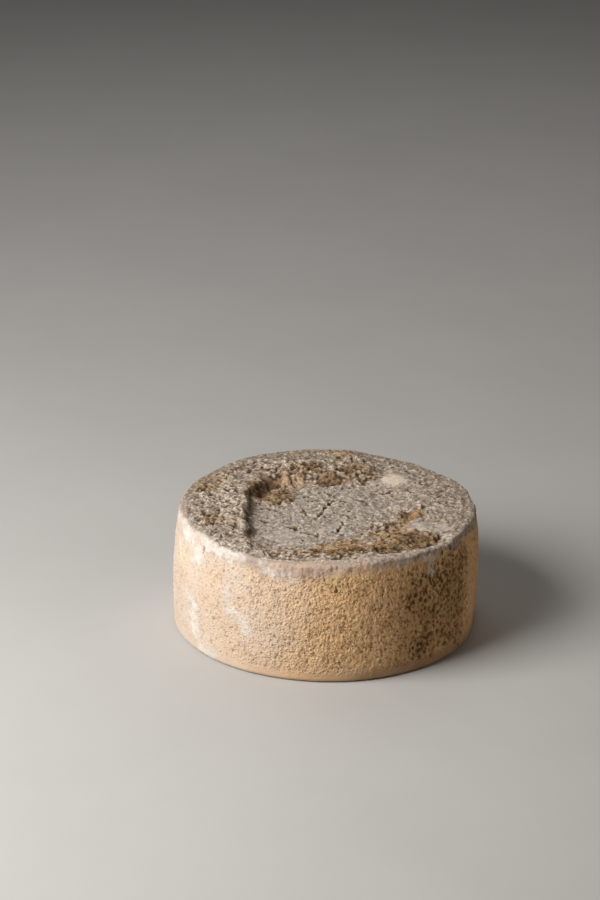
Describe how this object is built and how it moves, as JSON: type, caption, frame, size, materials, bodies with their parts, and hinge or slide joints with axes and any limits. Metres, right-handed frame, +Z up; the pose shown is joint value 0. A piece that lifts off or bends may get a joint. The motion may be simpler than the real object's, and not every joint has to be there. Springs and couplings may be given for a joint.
{
  "type": "aged pecorino cheese wheel",
  "caption": "Whole aged sheep's cheese wheel with a pitted ochre rind and a sunken top face crusted with grey mould.",
  "frame": {"origin": "centre of the flat base that the wheel rests on", "axes": "+Z up through the wheel, from its base to the sunken upper face; -Y is the front as first seen"},
  "size_m": [0.2187, 0.2184, 0.0891],
  "materials": {
    "rind": "dry, pitted cheese rind with powdery grey mould"
  },
  "bodies": {
    "root": {"wheel": "rind"}
  },
  "joints": []
}
